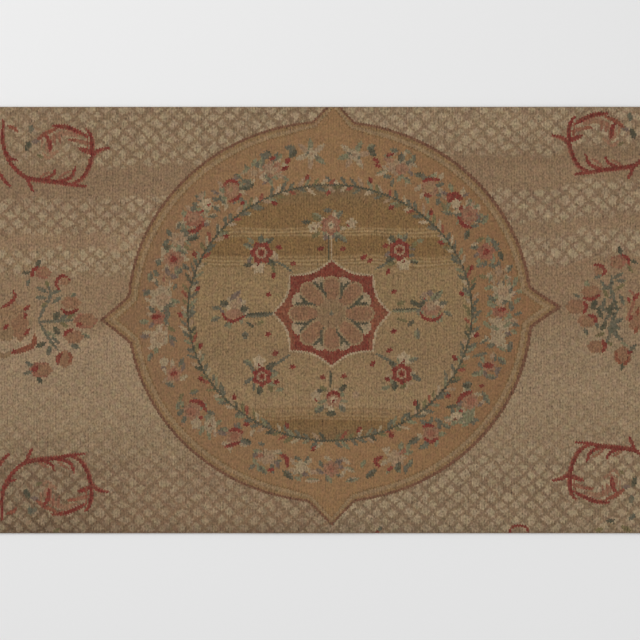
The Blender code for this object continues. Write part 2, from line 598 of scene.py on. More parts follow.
# %% Weave the sprigs beside the star
garland(
    Stem(((392.6, 311.4), (416.8, 310)), 6.0, "sage"),
    Stem(((392.6, 310.2), (416.8, 308.8)), 3.0, "spruce"), Leaf(401, 303.3, 15.5, 6.5, 20, "moss"),
    Leaf(414, 303, 15.5, 8, -30, "spruce"), Leaf(421, 304.5, 15.5, 8, 35, "spruce"),
    Leaf(402, 320.3, 18, 5, -15, "moss"), Leaf(411, 323.3, 15.5, 6.5, 40, "spruce"),
    Leaf(417.4, 334.2, 17, 9, 90, "slate", "sage"), Leaf(438.4, 295.4, 19.5, 8, 50, "sage", "spruce"),
    Leaf(443, 303.3, 15.5, 6.5, 10, "slate"), Leaf(448, 313.6, 17, 6.5, -30, "slate", "sage"),
    Bloom(424.7, 296, 13, "blush"), Bloom(430, 293.6, 10, "mauve"), Bloom(424.4, 298.8, 4, "red"),
    Bloom(431.4, 309, 30, "pink", 6, 0, 0.2, 0.8), Bloom(431.4, 306, 17, "blush", 5),
    Bloom(437, 303, 9, "cream", 4),
    Stem(((420, 313), (424, 318), (431, 320.4), (438, 318.6), (442.6, 314)), 5.4, "red"),
    Bud(393.8, 331.5),
)
garland(
    Stem(((247, 316.4), (271.6, 314.6)), 6.0, "slate"), Stem(((247, 314.8), (271.6, 313)), 4.4, "spruce"),
    Leaf(216.5, 308.3, 15.5, 6.5, 0, "slate"), Leaf(225, 303.4, 15.5, 8, -20, "spruce"),
    Leaf(244, 308.6, 18, 8, 0, "spruce"), Leaf(215.3, 319, 15.5, 8, 25, "slate", "sage"),
    Leaf(250.5, 325, 15.5, 5, -35, "spruce"), Leaf(260, 323, 15.5, 5, 35, "moss"),
    Bloom(245.2, 335.6, 12, "slate", 4), Bloom(245.2, 335.6, 6, "spruce"),
    Leaf(235.3, 295.5, 23.5, 8, 40, "mauve"), Bloom(235.9, 301.2, 4, "red"), Bloom(235, 307, 21, "blush"),
    Bloom(233.5, 314, 29, "pink", 6, 0, 0.2, 0.6), Bloom(228, 308, 9, "cream", 4),
    Stem(((222, 313), (226, 319), (233, 321.5), (240, 318.6), (245, 316)), 5, "red"), Bud(268.1, 334.4),
    Bud(275, 354),
)
print("a sprig on each side of the star")

# %% Weave the sprigs below the star
garland(
    Stem(((375.8, 353.8), (386, 359), (396.8, 365)), 4.6, "slate"),
    Leaf(392, 364.5, 15.5, 6.5, -50, "spruce"), Leaf(413.3, 359.6, 17, 6.5, 15, "slate", "sage"),
    Leaf(416.4, 378, 17, 8, -35, "slate"), Leaf(394.6, 386, 15.5, 9, 90, "spruce"),
    Leaf(403, 386.4, 13, 8, 60, "moss"), Leaf(385.6, 388.2, 15.5, 6.5, 20, "sage"),
    Blossom(403.9, 358.4, 21, "cream", 403.9, 361.3, "oxblood"), Rose(401.7, 373.9, 31, 30),
    Bud(389.2, 350.7), Bud(372.7, 364, 60), Bud(387.4, 379.5, -30),
)
garland(
    Stem(((289.4, 355.2), (281, 361), (273.8, 365.9)), 4.6, "slate"),
    Leaf(270.2, 366.5, 19.5, 9, 40, "spruce"), Leaf(247.9, 363.2, 17, 8, -30, "slate", "sage"),
    Leaf(247.9, 381.5, 15.5, 6.5, 35, "slate"), Leaf(259.5, 390.6, 15.5, 10.5, 90, "spruce"),
    Leaf(270.2, 388.6, 14.5, 8, 120, "moss"), Leaf(279.6, 390, 14.5, 6.5, 10, "sage"),
    Blossom(259, 361.9, 21, "cream", 259, 365.2, "oxblood"), Rose(262, 377, 29, 90), Bud(275.1, 353.4),
    Bud(292.5, 367.2), Bud(276.4, 382.2),
)
garland(
    Stem(((330.4, 371), (330.4, 387)), 4.0, "spruce"),
    Leaf(319.2, 409.3, 19.5, 10.5, 35, "slate", "sage"), Leaf(331.3, 413.8, 17, 9, 0, "spruce"),
    Leaf(342, 408.8, 15.5, 8, -40, "slate"), Leaf(342.9, 388, 15.5, 8, 40, "spruce"),
    Leaf(324, 389, 15.5, 6.5, -35, "moss"), Leaf(318.8, 391.4, 15.5, 6.5, 10, "spruce"),
    Blossom(315.6, 396, 17, "pale", 315.8, 400.4, "red"), Bloom(355.8, 395, 12, "blush"),
    Bloom(333.5, 400, 25, "pink", 5), Arc(333.5, 399.4, 10, 6, 90, 85, "red"),
    Bloom(333.5, 400, 11, "cream"), Bloom(333.3, 400.8, 5, "oxblood"), Bloom(330.8, 408.6, 9, "cream"),
    Bud(322.8, 377.4), Bud(344, 376.3),
)
print("three sprigs below the star")

# %% [markdown]
# ## The wreath
#
# The orange ring carries a wreath of roses, pale blossoms and leaves. A century of light has faded it
# more than the sprigs: its roses are pink rounds with a red stroke beside them, and the blossoms nearly
# sink into the ground. The lists go round by quarters.

# %% Weave the top of the wreath
garland(
    Crossed(311.5, 154.5, 0), Crossed(354, 155, 100), Bloom(272.5, 169.5, 36, "pink", 7, 0, 0.3, 0.75),
    Bloom(271, 169, 22, "blush", 5, 0, 0.2, 0.8), Leaf(280, 176, 16, 7, -30, "blush"),
    Leaf(262, 176, 15, 6, 40, "pale"), Leaf(275, 166, 9, 4, 20, "rose"),
    Leaf(268, 154, 14.5, 8, -30, "slate", "spruce"), Leaf(262.5, 161, 15.5, 8, 80, "slate", "sage"),
    Leaf(254, 163, 15.5, 6.5, 60, "sage"), Leaf(272.5, 158.6, 11.5, 5.5, 20, "red"),
    Leaf(290, 148, 17, 8, 0, "slate"), Leaf(292.5, 153.5, 17, 12, 60, "spruce", "slate"),
    Leaf(287.5, 161, 12, 7, 60, "red"), Leaf(285, 168.5, 13, 6, 25, "oxblood"),
    Bloom(254, 173.5, 24, "tan", 6, 0, 0.2, 0.8), Bloom(254, 173, 11, "blush"),
    Leaf(246, 170, 14, 5, 40, "sage"), Leaf(247, 182, 17, 7, -20, "slate"),
    Leaf(245, 188, 20, 9, 10, "spruce", "slate"), Leaf(239, 176.6, 14, 6, -40, "slate", "sage"),
    Leaf(251, 186, 12, 6, 40, "spruce"), Bloom(398, 167.5, 38, "blush", 7, 0, 0.3, 0.7),
    Bloom(402, 169, 22, "pink", 5, 0, 0.2, 0.8), Leaf(382, 173, 22, 7, 20, "pale", "sage"),
    Leaf(389, 160, 18, 8, -10, "pink"), Leaf(400, 173, 9, 4, -40, "rose"),
    Leaf(371, 147.5, 14, 9, 30, "slate", "sage"), Leaf(372.5, 153, 15, 9, -50, "spruce"),
    Leaf(376, 160.6, 13, 6, -30, "red"), Leaf(378, 166, 12, 5.5, -20, "red"),
    Leaf(390, 155, 13, 5, 10, "red"), Leaf(394, 150.6, 14, 6.5, -10, "slate"),
    Leaf(401, 158, 17, 8.5, 80, "slate", "spruce"), Leaf(413.5, 159, 14.5, 8, 80, "slate", "sage"),
    Leaf(408, 152, 13, 5, -30, "sage"), Leaf(420, 175.5, 20, 8, -15, "slate", "spruce"),
    Leaf(407, 180.5, 17, 7, -40, "sage", "slate"), Leaf(427, 179, 14, 6, 30, "slate"),
)
print("the top of the wreath")

# %% Weave the left of the wreath
garland(
    Bloom(232, 191.6, 29, "petal", 6, 90, 0.15, 0.85), Bloom(232, 191, 22, "pink", 5, 90, 0.2, 0.8),
    Bloom(231, 190, 10, "tan", 4),
    Stem(((222.6, 187), (228, 181.6), (234, 181.4), (239, 184.6)), 5, "red"),
    Stem(((229, 202), (236, 199.6), (241, 194)), 5.4, "red"), Leaf(215, 192.6, 15, 5, -30, "mauve"),
    Leaf(222, 199.6, 18, 7, -60, "slate", "sage"), Leaf(226, 206.6, 14, 6, 80, "pale"),
    Bloom(206, 204.6, 25, "pale", 6, 0, 0.3, 0.8), Bloom(207, 203.6, 15, "cream", 5),
    Leaf(201, 196, 16, 7, 60, "blush"), Leaf(209, 205, 7, 4, 20, "red"),
    Leaf(202, 211.6, 8, 4, 40, "red"), Leaf(213, 216, 16, 7, 10, "slate", "pale"),
    Bloom(193.6, 219, 31, "rose", 6, 0, 0.2, 0.85), Bloom(193, 217.6, 20, "pink", 5, 0, 0.2, 0.8),
    Stem(((189, 231.6), (195, 231), (200, 227), (204, 221.6)), 7, "red"),
    Stem(((189, 231), (196, 229), (202, 223)), 2.6, "oxblood"),
    Leaf(178, 225.6, 13, 8, 70, "slate", "pale"), Leaf(183, 231, 12, 5, 20, "slate"),
    Leaf(193, 238, 22, 9, 10, "spruce", "slate"), Leaf(188, 243, 13, 5, -40, "sage"),
    Bloom(178, 239, 28, "blush", 6, 0, 0.25, 0.8), Bloom(178, 239, 7, "tan", 4),
    Leaf(167, 247.6, 11.5, 8, 20, "spruce"), Bloom(173, 259, 34, "pink", 7, 0, 0.25, 0.85),
    Bloom(173.4, 259, 19, "rose", 5), Bloom(173.6, 259.4, 11, "red", 5),
    Leaf(163, 254, 13.5, 6, 60, "pale"), Leaf(183, 252, 16, 6, -20, "slate", "sage"),
    Leaf(158.6, 262.5, 11.5, 8, 80, "slate"), Leaf(179.6, 271, 14.5, 8, 40, "slate", "sage"),
    Leaf(187, 248, 13, 5, -40, "moss"), Leaf(150, 277, 15.5, 8, 80, "slate", "sage"),
    Bloom(164, 280, 22.5, "tan"), Bloom(164, 279, 10, "rose", 4, 90, 0.2, 0.5),
    Bloom(161, 298, 38, "pale", 6), Bloom(163, 300, 22.5, "blush", 5),
    Leaf(147, 293, 14.5, 8, 40, "slate"), Leaf(168.5, 306, 19.5, 6.5, 30, "slate"),
    Leaf(175, 287, 11.5, 5, 60, "slate"), Bloom(158, 318, 22.5, "rose"),
    Leaf(156, 317, 14.5, 8, 10, "red"), Leaf(144, 322, 15.5, 8, 0, "sage"),
    Bloom(159, 338, 31.5, "pale", 6), Bloom(160, 338, 17, "blush"),
    Leaf(171, 329, 15.5, 6.5, -30, "moss"), Leaf(150, 357, 15.5, 6.5, 70, "slate", "sage"),
    Leaf(181.5, 362, 15.5, 6.5, 60, "slate"), Bloom(174, 374, 25, "pink"), Bloom(174, 374, 17, "rose"),
    Leaf(174, 374, 12, 7, 10, "red"), Bloom(164, 362, 15, "pale"), Leaf(170, 385, 15, 7, -20, "slate"),
    Leaf(194, 392, 14, 8, 20, "slate", "moss"), Leaf(178, 406, 14, 7, 80, "slate", "sage"),
    Bloom(192, 411, 28, "pink", 6), Bloom(191, 412, 15, "rose", 5),
    Stem(((190, 401), (200, 402.6), (206.4, 411)), 7, "red"), Bloom(201, 418, 7, "red", 3),
    Bloom(196, 424, 18, "pale"), Bloom(210, 426, 22, "pale", 6), Bloom(210, 425.6, 6, "umber", 3),
    Leaf(211, 413, 15, 6, -20, "slate"), Leaf(222, 430, 18, 6, 30, "slate"),
    Leaf(181, 397, 13, 6, 60, "moss"),
)
print("the left of the wreath")

# %% Weave the bottom of the wreath
garland(
    Bloom(234.5, 437, 28, "pink", 6), Bloom(234.5, 437, 15, "rose", 5),
    Stem(((229, 431), (236, 429.6), (243, 433)), 5.6, "red"),
    Stem(((225, 447), (231, 445.4), (240, 442.6)), 6, "red"),
    Leaf(246, 442, 20, 9, -20, "slate", "spruce"), Leaf(252, 433, 15, 6, 60, "pale"),
    Bloom(267, 457, 33, "blush", 7, 0, 0.3, 0.8), Leaf(260, 456, 14, 5.5, 20, "rose"),
    Leaf(255, 462, 14, 6, -60, "sage"), Leaf(252, 467, 13, 6, 40, "slate"),
    Leaf(277, 452, 14, 6, 20, "pale"), Leaf(271, 470, 13, 5.5, 10, "red"),
    Leaf(263, 470, 18, 8, -50, "slate", "sage"),
    Stem(((280, 455.6), (286, 458), (287.6, 467)), 6.6, "red"),
    Leaf(288, 475, 22, 9, -40, "spruce", "slate"), Bloom(301, 467, 21, "pale", 6),
    Leaf(309, 462, 15, 6, 50, "pale"), Leaf(312, 480.6, 24, 7, 0, "pale", "sage"),
    Leaf(298, 479, 14, 6, -30, "sage"), Leaf(314, 472, 16, 6, -20, "blush"),
    Bloom(331, 469, 26, "pink", 6), Bloom(331, 469, 12, "rose", 4), Leaf(346, 461, 18, 6.5, -40, "pale"),
    Leaf(350, 470, 18, 7, -20, "pale", "sage"), Leaf(352, 480, 22, 7, 10, "sage", "pale"),
    Bloom(351, 480, 7, "slate", 3), Leaf(343, 474, 15, 6, 60, "pale"), Leaf(363, 464, 15, 6, 60, "sage"),
    Bloom(396, 458, 33, "blush", 7, 0, 0.3, 0.8), Leaf(403, 452, 15, 6, 40, "rose"),
    Leaf(387, 451, 15, 6, 60, "pale"), Leaf(410, 464, 16, 7, 60, "slate", "sage"),
    Stem(((382, 457), (375.6, 461), (379, 467)), 7, "red"), Leaf(371, 474, 22, 9, 40, "spruce", "slate"),
    Leaf(398, 467, 18, 9, 70, "spruce", "slate"), Leaf(390, 469, 12, 5.5, 40, "red"),
    Leaf(414, 441, 22, 9, 30, "slate", "spruce"), Leaf(408, 448, 15, 6, 80, "sage"),
)
print("the bottom of the wreath")

# %% Weave the right of the wreath
garland(
    Bloom(430, 188, 29, "pink", 5), Bloom(430, 188, 17, "tan"), Leaf(441, 177, 15, 7, 60, "pale"),
    Stem(((423, 182), (429, 179.4), (439, 179.8)), 5.4, "red"), Leaf(427.5, 195.5, 14, 6.5, -15, "red"),
    Leaf(438, 202, 12, 8, 70, "slate"), Leaf(468.5, 203, 15, 9, 60, "sage", "pale"),
    Leaf(440, 185, 15.5, 6.5, 20, "slate"), Leaf(444, 207, 15.5, 6.5, -60, "moss"),
    Bloom(454, 198, 27, "red", 5, 0, 0.15, 0.7), Bloom(456, 204, 16, "cream", 5),
    Leaf(461, 208, 8, 6, 60, "oxblood"), Leaf(448, 213, 20, 7, -10, "slate", "sage"),
    Bloom(469, 215, 29, "rose", 6), Bloom(469.4, 214.4, 23, "pink", 6), Bloom(470, 214, 11, "rose", 5),
    Stem(((458.6, 217), (463, 225), (471, 227.8)), 6.5, "red"), Leaf(475, 226, 14, 6, 10, "slate"),
    Leaf(485, 220, 20, 8, 55, "sage", "slate"), Leaf(475, 244, 15, 5, 25, "pale"),
    Leaf(467, 235, 17, 9, 70, "spruce", "slate"), Leaf(480, 240, 14.5, 6.5, 30, "moss"),
    Leaf(494, 242.5, 15.5, 6.5, -50, "slate"), Bloom(486, 252, 28, "rose"), Bloom(486, 252, 11, "red"),
    Leaf(501, 256, 15.5, 8, -70, "spruce"), Leaf(480, 265, 15.5, 6.5, 30, "slate", "sage"),
    Bloom(498.6, 274, 24.5, "tan"), Bloom(498.6, 273, 11, "blush"),
    Leaf(509.5, 269, 14.5, 6.5, 60, "slate"), Leaf(483, 277, 14.5, 6.5, -20, "moss"),
    Bloom(503, 293, 38, "pale", 7, 0, 0.3, 0.8), Bloom(504, 292, 21, "blush", 5, 0, 0.2, 0.7),
    Leaf(496, 297, 15, 5, 60, "sage"), Leaf(511, 290, 14, 5, 70, "slate"),
    Leaf(492, 299, 17, 6.5, -35, "slate"), Leaf(517, 301, 14.5, 6.5, 40, "sage"),
    Bloom(500, 312, 27, "rose", 5, 0, 0.2, 0.6), Leaf(502, 310, 14, 6, 15, "red"),
    Leaf(518, 314, 15, 5.5, 20, "slate"), Bloom(501, 326, 36, "pale", 7, 0, 0.3, 0.65),
    Bloom(498, 338, 26, "pale", 6), Leaf(507, 325, 15, 6, 40, "sage"), Leaf(495, 328, 15, 6, -30, "sage"),
    Leaf(484, 341, 18, 6, 35, "slate", "pale"), Leaf(510, 347, 18, 9, 80, "slate"),
    Leaf(480, 355, 26, 5.5, 15, "slate"), Leaf(502, 361, 16, 10, -40, "slate", "sage"),
    Bloom(489, 366, 24, "pink", 6, 0, 0.2, 0.75), Leaf(488.6, 365.8, 17, 9, 0, "red"),
    Leaf(476, 374, 16, 8, 20, "sage", "slate"), Leaf(491, 377, 18, 8, -10, "slate", "sage"),
    Leaf(467.5, 385, 17, 10, 10, "spruce", "slate"), Leaf(486, 398, 22, 8, -60, "slate", "sage"),
    Leaf(481.6, 386, 8, 5, 20, "red"), Bloom(470, 401, 28, "pink", 6), Bloom(471, 401, 15, "rose", 5),
    Stem(((457.4, 402.6), (463, 395.6), (472, 392)), 7, "red"), Leaf(452, 406.7, 20, 6, 10, "spruce"),
    Leaf(461, 411, 8, 5, -20, "red"), Bloom(468, 417, 20, "sage", 6),
    Bloom(456, 416.6, 19, "cream", 5, 0, 0.25, 0.8), Leaf(455, 419.5, 7, 4, 0, "umber"),
    Leaf(439, 421.6, 17, 7, -35, "slate"), Leaf(446, 426, 17, 7, -30, "slate", "sage"),
    Bloom(430.8, 433.4, 28, "pink", 6), Bloom(430.8, 433.4, 15, "rose", 5),
    Stem(((423, 427.6), (427.6, 425.6), (434, 426.6)), 5.6, "red"),
    Stem(((424, 438), (431, 442), (438, 438)), 5.6, "red"), Leaf(423, 447, 15, 7, 20, "slate"),
)
print("the right of the wreath")

# %% [markdown]
# ## The side bouquets
#
# In the field, on each side of the medallion, a loose bouquet of faded tan flowers stands on green
# branches. Small red strokes mark the shaded sides of their petals.

# %% Weave the left bouquet
weave(
    Bloom(12, 318, 56, "tan", 6, 90, 0.2, 0.8), Bloom(20, 328, 42, "petal", 6, 90, 0.2, 0.7),
    Bloom(6, 334, 26, "sand", 5), Stem(((-6, 352), (4, 356), (12, 352)), 8, "sand"),
    Stem(((49, 286), (50, 297), (44, 308), (39, 320)), 5.5, "slate"),
    Stem(((39, 322), (52, 321.6), (76, 320)), 5, "slate"),
    Stem(((39, 322), (45, 332), (51, 342), (58, 350)), 5, "slate"), Leaf(42, 290, 19, 6.5, -25, "slate"),
    Leaf(41, 298, 19, 6.5, -5, "slate"), Leaf(44, 305, 12, 5, 30, "moss"),
    Leaf(56, 292, 19, 6, 20, "slate"), Leaf(51, 334, 17, 6, -30, "sage"),
    Leaf(57, 300, 19, 6, 35, "slate"), Leaf(47, 284, 12, 5, 100, "moss"),
    Leaf(73, 297, 15, 7.5, 70, "slate", "sage"), Leaf(56.5, 316, 15, 10, 60, "spruce"),
    Leaf(64, 317, 16, 6, 30, "slate"), Leaf(56.5, 331, 15, 9, -60, "spruce"),
    Leaf(64, 325, 15, 5.5, -30, "moss"), Leaf(71, 316, 15, 6, 40, "moss"),
    Leaf(41, 345, 17.5, 7.5, 20, "spruce"), Leaf(49, 351, 17.5, 7.5, 80, "slate"),
    Leaf(56, 341, 16, 6, -40, "slate"), Leaf(75, 346.5, 16, 7.5, -20, "slate"),
    Leaf(86, 336, 17.5, 6, -25, "slate", "sage"), Leaf(38, 264, 15, 7.5, 70, "spruce"),
    Leaf(26, 273, 15, 5.5, 0, "spruce"), Leaf(28, 283, 13.5, 5.5, 60, "slate"),
    Bloom(43, 273, 25, "rose", 5, 0, 0.15, 0.8), Bloom(45, 273, 17, "petal", 5, 0, 0.2, 0.8),
    Stem(((38, 267), (33, 271), (32, 277)), 6, "red"),
    Stem(((70, 280), (62, 276), (56, 283), (59, 290)), 5.5, "red"),
    Bloom(65, 282, 16, "petal", 5, 0, 0.2, 0.8),
    Stem(((13, 291), (15, 297), (9, 304), (1, 308)), 5.5, "red"),
    Bloom(71, 303, 31, "petal", 6, 0, 0.15, 0.65),
    Stem(((61, 309), (68, 313.4), (78, 310)), 5.5, "oxblood"),
    Bloom(85.5, 321, 37, "rose", 6, 0, 0.12, 0.68), Bloom(87.5, 320, 28, "petal", 6, 0, 0.12, 0.72),
    Bloom(79, 325, 11, "red", 4, 20, 0.2, 0.7), Bloom(74, 337, 31, "petal", 6, 0, 0.15, 0.68),
    Stem(((64, 336), (67, 332), (73, 330)), 6, "red"), Bloom(65, 359, 28, "petal", 6, 90, 0.15, 0.9),
    Stem(((62, 353), (58, 358), (58, 364)), 6.5, "red"),
    Stem(((69, 353), (71, 358), (69, 363)), 5.5, "russet"), Bloom(41, 370, 36, "rose", 6, 0, 0.12, 0.68),
    Bloom(44, 370, 26, "petal", 6, 0, 0.12, 0.7), Bloom(35, 369, 12, "red", 4, 40, 0.2, 0.8),
    Leaf(29, 364, 13.5, 6, -30, "slate"), Leaf(28, 373, 15, 6, 15, "slate"),
    Leaf(40, 380.5, 12, 7.5, -45, "spruce"),
    Stem(((35, 335), (33, 345), (23, 350), (13, 353)), 8.5, "russet"), Bloom(14, 352, 8, "red", 3),
    Leaf(27, 308, 13.5, 6, 40, "red"), Leaf(25, 316, 11, 6, 80, "red"), Leaf(6, 327, 12, 6, 40, "red"),
    Leaf(27, 332, 13.5, 5.5, 50, "red"),
)
print("the left bouquet")

# %% Weave the right bouquet
weave(
    Bloom(639, 312, 52, "tan", 6, 90, 0.2, 0.8), Bloom(636, 322, 34, "petal", 6, 90, 0.2, 0.7),
    Stem(((612, 276), (611, 288), (614, 300), (617, 309)), 5.5, "slate"),
    Stem(((590, 308.6), (606, 308.8), (622, 308.6)), 4, "spruce"),
    Stem(((618, 310), (612, 322), (610, 334), (606, 344)), 5.5, "slate"),
    Leaf(618, 276, 20, 6, 25, "slate"), Leaf(611, 285, 17.5, 6, 60, "slate"),
    Leaf(620, 287, 17.5, 6, 30, "moss"), Leaf(606, 294, 16, 6, 120, "moss"),
    Leaf(594, 304, 15, 9, 60, "spruce"), Leaf(604, 303, 17.5, 6, 80, "slate"),
    Leaf(600, 314, 16, 7.5, 120, "spruce"), Leaf(608, 317, 16, 6, 45, "slate"),
    Leaf(604, 326, 17.5, 7.5, 60, "spruce"), Leaf(616, 327, 17.5, 6, 150, "slate"),
    Leaf(618, 337, 20, 6, 145, "slate"), Leaf(600, 335, 16, 6, 20, "moss"),
    Leaf(586, 332, 13.5, 6, -60, "slate"), Leaf(587, 285, 13.5, 7.5, 100, "sage"),
    Leaf(577, 296, 12, 5, -30, "slate"), Leaf(620, 250.6, 13.5, 7.5, 110, "spruce"),
    Leaf(634, 262, 13.5, 5, -20, "spruce"), Leaf(630, 269, 15, 5, -60, "moss"),
    Bloom(618, 262, 26, "rose", 5, 0, 0.15, 0.85), Bloom(617, 262, 18, "petal"),
    Stem(((622, 255), (628, 259), (629, 265)), 5.5, "red"),
    Stem(((594, 265), (601, 266), (605, 272), (601, 276)), 5.5, "red"), Bloom(598, 271, 14, "petal"),
    Bloom(591, 292, 31, "petal", 6, 0, 0.15, 0.65),
    Stem(((583, 298), (591, 299.4), (600, 295)), 5.5, "red"),
    Bloom(576, 307, 32, "petal", 6, 0, 0.12, 0.72), Stem(((584, 302), (586, 307), (584, 313)), 6, "red"),
    Bloom(587, 321, 30, "petal", 6, 0, 0.12, 0.68), Stem(((589, 315), (595, 318), (596, 324)), 6, "red"),
    Bloom(596, 347, 27, "petal", 6, 0, 0.12, 0.75),
    Stem(((602, 340), (605, 346), (603, 352)), 6.5, "red"), Bloom(623, 356, 29, "petal", 6, 90, 0.12),
    Stem(((616, 351), (618, 361), (625, 364), (630, 356)), 5, "russet"), Leaf(630, 352, 11, 6, 40, "red"),
    Leaf(622, 367, 12, 6, 80, "spruce"), Leaf(633, 348, 16, 6, 40, "slate"),
    Stem(((629, 290), (634, 296), (632, 308), (626, 320)), 5, "rose"), Leaf(598, 277, 13, 5, 20, "slate"),
    Leaf(629, 300, 9, 5, 90, "red"), Leaf(631, 318, 12, 5, 60, "red"), Leaf(612, 296, 13, 5, 45, "slate"),
    Leaf(622, 300, 18, 6, 110, "slate"), Leaf(613, 305, 17, 6, 30, "spruce"),
    Leaf(610, 312, 18, 7, 150, "spruce"), Leaf(618, 321, 20, 7, 20, "slate"),
    Leaf(612, 330, 20, 7, 150, "slate"), Leaf(624, 344, 15, 5, 150, "sage"),
    Leaf(603, 309, 17, 6, -40, "slate"), Leaf(607, 288, 17, 6, 10, "slate"),
    Leaf(621, 281, 17, 6, 0, "slate"), Leaf(597, 326, 12, 5, 100, "slate"),
    Leaf(610, 344, 12, 5, 150, "moss"), Leaf(603, 284, 13, 5, 130, "slate"),
    Leaf(636, 297, 16, 6, 50, "red"), Leaf(638, 312, 13.5, 6, 80, "russet"),
    Leaf(636, 330, 13.5, 6, 60, "russet"),
)
print("the right bouquet")

# %% [markdown]
# ## The red scrolls
#
# Near each corner a red acanthus scroll curls into a ring. The four are meant as mirror images, so one
# scroll is drawn as lists of places round the point where its two arms meet, in the photograph's pixels
# to the right and up, and is turned over for each corner. The dark red arm has short spurs and a pink
# feathered hatch on its inner side.

# %% Draw one scroll
Scroll = namedtuple("Scroll", "px py right up")
SCROLLS = (
    Scroll(86, 186.4, 1, 1),
    Scroll(575, 174, -1, 1),
    Scroll(85, 454, 1, -1),
    Scroll(576, 442.4, -1, -1),
)
SCROLL_STEMS = (
    Stem(((-9, 50), (-22, 53), (-34, 47), (-39, 38), (-33, 32)), 8.5, "pink"),
    Stem(((-43, 33), (-38, 28), (-32, 32)), 4.4, "pink"),
    Stem(((-44, 48), (-44, 39)), 3.2, "pink"),
    Stem(((-32, 52), (-31, 42)), 4.2, "rose"),
    Stem(((-27, 53), (-26, 43)), 3.6, "rose"),
    Stem(((-47, 8), (-41, 12), (-36, 14)), 4.2, "rose"),
    Stem(((-46, 6), (-38, 8.6), (-33, 11.5), (-30.5, 17)), 5.0, "red"),
    Stem(((-28, 7), (-22, 12), (-16, 15)), 4.2, "rose"),
    Stem(((-29, 5), (-19.3, 7), (-14, 10.4), (-10.5, 19)), 5.4, "red"),
    Stem(((-78, 60), (-72, 58), (-69, 55)), 6.0, "brick"),
    Stem(((-79, 34), (-76, 28), (-69, 26)), 4.6, "red"),
    Stem(((-59, 7), (-56, 1), (-53, -5)), 5.4, "red"),
    Stem(((-87, 14), (-82, 6), (-76, 0)), 5.6, "red"),
    Stem(((-17, 46.5), (-9, 45.5), (-1, 43)), 5.4, "brick"),
    Stem(((-9, 45.5), (-3, 44), (3, 42)), 6.4, "rose"),
    Stem(((-7, 38), (-1, 36), (6, 33)), 6.6, "red"),
    Stem(((-33, 60.4), (-20, 59.4), (-9, 55), (1, 50)), 6.4, "red"),
    Stem(((-30, 57), (-40, 53), (-48, 47)), 6.4, "brick"),
    Stem(((-40, 50), (-37, 45), (-36, 36)), 6.6, "red"),
    Stem(((-83, 66), (-83.5, 48), (-81, 34), (-73, 20), (-60, 9), (-46, 6), (-28, 4), (-14, 1.5), (0, 0)),
         6.0, "red"),
    Stem(((-15, 2), (-4, 8), (3, 20), (6, 30), (13, 36), (23, 38.6)), 5.8, "red"),
    Stem(((5.6, 30), (6, 44), (3.5, 53), (0, 57)), 6.0, "red"),
    Stem(((-30, 60), (-20, 59), (-10, 55)), 3.0, "oxblood"),
    Stem(((-60, 10), (-46, 7), (-28, 5), (-18, 3)), 3.6, "oxblood"),
    Stem(((-83, 58), (-83, 44), (-80, 33), (-72, 20)), 3.4, "oxblood"),
    Stem(((-8, 5), (1, 16), (5, 28), (6, 42), (4, 51)), 3.4, "oxblood"),
    Stem(((1.5, 34), (1.5, 44), (0, 52)), 2.4, "brick"),
)
SHADED = 5.7
SHADE_AT = (0.8, -1.0)
SCROLL_LEAVES = (
    Leaf(-58, 40, 17, 9, 70, "spruce"), Leaf(-50, 45, 15, 7, 20, "mauve"), Leaf(-55, 57, 14, 8, 80, "slate"),
    Leaf(-30, 34, 11, 5, 40, "pink"), Leaf(-46, 30, 12, 5, -30, "moss"),
)


def turned(scroll, points):
    """A scroll's places in the photograph, turned over for its corner."""
    return [(scroll.px + scroll.right * right, scroll.py - scroll.up * up) for right, up in points]


for scroll in SCROLLS:
    for part in SCROLL_LEAVES:
        px, py = turned(scroll, (part[:2],))[0]
        leaf(px, py, part.long, part.wide, part.turn * scroll.right * scroll.up, part.yarn)
    for stem in SCROLL_STEMS:
        if stem.wide > SHADED and stem.yarn == "red":
            beside = [(right + SHADE_AT[0], up + SHADE_AT[1]) for right, up in stem.points]
            stroke(turned(scroll, beside), stem.wide, "rose", taper=0.7)
    for stem in SCROLL_STEMS:
        stroke(turned(scroll, stem.points), stem.wide, stem.yarn, taper=0.5)
print(len(SCROLLS), "scrolls")

# %% Weave what starts at the lower edge
weave(
    Stem(((509, 536), (511.6, 528), (519, 525.8), (526.6, 528), (529, 536)), 4.2, "red"),
    Leaf(610, 521, 15, 6, 10, "spruce"), Leaf(632, 517, 16, 7, 40, "slate"),
    Leaf(626, 529, 18, 8, -30, "moss"), Leaf(599, 530, 14, 6, 20, "moss"),
    Leaf(380, 529, 9, 5, 60, "slate"), Leaf(377, 532, 7, 4, 0, "red"), Leaf(56, 531, 14, 6, 30, "moss"),
    Leaf(28, 524, 12, 6, 60, "blush"), Leaf(34, 511, 13, 6, 50, "slate"),
)
print("the lower edge")

# %% [markdown]
# ## From the chart to cloth
#
# Now the cloth is woven from the chart. Down each rib, every stretch of one yarn becomes a strip of the
# mesh with a raised crest and two low sides, so the ribs are real relief and each change of yarn is a
# real edge. A grid of equal cells would need millions of faces for the same steps. Long plain stretches
# are only parted every few centimetres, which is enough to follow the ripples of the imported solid.

# %% Measure the ripples
RIPPLE_CELLS = (98, 64)
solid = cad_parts["rug_cloth"]
solid_tree = BVHTree.FromObject(solid, bpy.context.evaluated_depsgraph_get())
span_x, span_y = WIDTH / 2 - 2 * EDGE_ROUND, LENGTH / 2 - 2 * EDGE_ROUND
ripple_x = np.linspace(-span_x, span_x, RIPPLE_CELLS[0] + 1)
ripple_y = np.linspace(-span_y, span_y, RIPPLE_CELLS[1] + 1)
DOWN = Vector((0, 0, -1))


